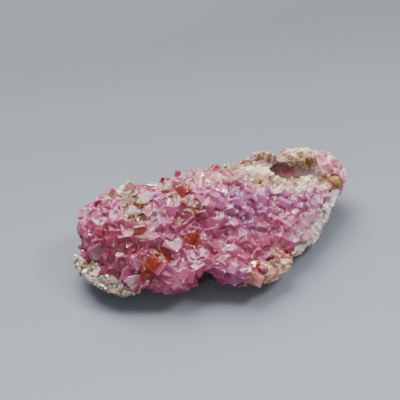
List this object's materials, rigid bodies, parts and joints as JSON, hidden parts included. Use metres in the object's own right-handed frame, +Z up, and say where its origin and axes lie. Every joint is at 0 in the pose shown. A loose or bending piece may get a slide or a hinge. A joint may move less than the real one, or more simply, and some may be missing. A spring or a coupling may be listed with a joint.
{
  "type": "cobaltoan calcite specimen",
  "caption": "Mineral specimen: a crust of pink rhombohedral calcite crystals over a long piece of pale rough rock with a ledge, a notch and a hollow.",
  "frame": {"origin": "under the middle of the specimen, on the flat base it rests on", "axes": "+X along the specimen's length, from the end with the ledge to the end with the nodule, +Y from the notched front edge to the ridge at the back, +Z up"},
  "size_m": [0.0814, 0.0424, 0.02],
  "materials": {
    "matrix_rock": "rough broken rock, cream and tan with grey and ochre patches",
    "crystal_crust": "glossy translucent pink crystal",
    "corner_crystals": "glossy translucent pale pink crystal"
  },
  "bodies": {
    "root": {"matrix_rock": "matrix_rock", "crystal_crust": "crystal_crust", "corner_crystals": "corner_crystals"}
  },
  "joints": []
}
